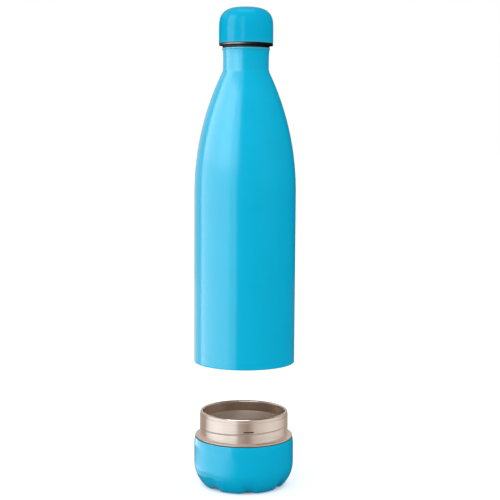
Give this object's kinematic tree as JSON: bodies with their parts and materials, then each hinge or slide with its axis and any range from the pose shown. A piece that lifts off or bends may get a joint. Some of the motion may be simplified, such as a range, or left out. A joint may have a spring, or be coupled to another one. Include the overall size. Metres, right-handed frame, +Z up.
{
  "type": "water bottle diversion safe",
  "caption": "Slim vacuum water bottle with a round screw cap, whose petal foot screws off to show a steel stash cup under a hidden recess; shown lifted off the foot.",
  "frame": {"origin": "On the floor under the middle of the foot, where the bottle's axis meets the plane of the foot's pads", "axes": "+Z up along the bottle's axis, -Y towards the viewer of the picture, +X to that viewer's right"},
  "size_m": [0.076, 0.076, 0.3599],
  "materials": {
    "blue_paint": "satin powder coat",
    "steel": "fine turned satin",
    "dull_steel": "matte",
    "black_plastic": "satin",
    "white_plastic": "satin",
    "black_silicone": "matte",
    "grey_silicone": "matte",
    "foam": "matte",
    "getter_metal": "matte"
  },
  "bodies": {
    "base": {"base_shell": "blue_paint", "base_edge_ring": "grey_silicone", "base_collar": "steel", "stash_cup": "steel", "cup_support": "black_plastic"},
    "gasket": {"stash_gasket": "grey_silicone"},
    "bottle": {"bottle_shell": "blue_paint", "bottle_liner": "steel", "liner_neck": "steel", "liner_floor": "steel", "vacuum_bulkhead": "dull_steel", "vacuum_seal": "getter_metal", "getter_clip": "dull_steel", "getter_pill": "getter_metal", "ceiling_cover": "dull_steel", "thread_ring": "black_plastic"},
    "seal": {"cap_seal": "black_silicone"},
    "cap": {"stopper_body": "black_plastic", "stopper_foam": "foam", "stopper_plate": "steel", "cap_core": "white_plastic", "cap_shell": "blue_paint"}
  },
  "joints": [
    {"name": "bottle_lift", "type": "slide", "parent": "base", "child": "gasket", "axis": [0, 0, 1], "range_m": [-0.057, 0]},
    {"name": "bottle_turn", "type": "hinge", "parent": "gasket", "child": "bottle", "pos_m": [0, 0, 0.1], "axis": [0, 0, 1], "range_deg": [-3240, 0]},
    {"name": "cap_rise", "type": "slide", "parent": "bottle", "child": "seal", "axis": [0, 0, 1], "range_m": [0, 0.012]},
    {"name": "cap_turn", "type": "hinge", "parent": "seal", "child": "cap", "pos_m": [0, 0, 0.33], "axis": [0, 0, 1], "range_deg": [0, 1080]}
  ],
  "couplings": [
    {"joint": "bottle_lift", "follows": "bottle_turn", "m_per_rad": 0.001008},
    {"joint": "cap_rise", "follows": "cap_turn", "m_per_rad": 0.00063661}
  ]
}
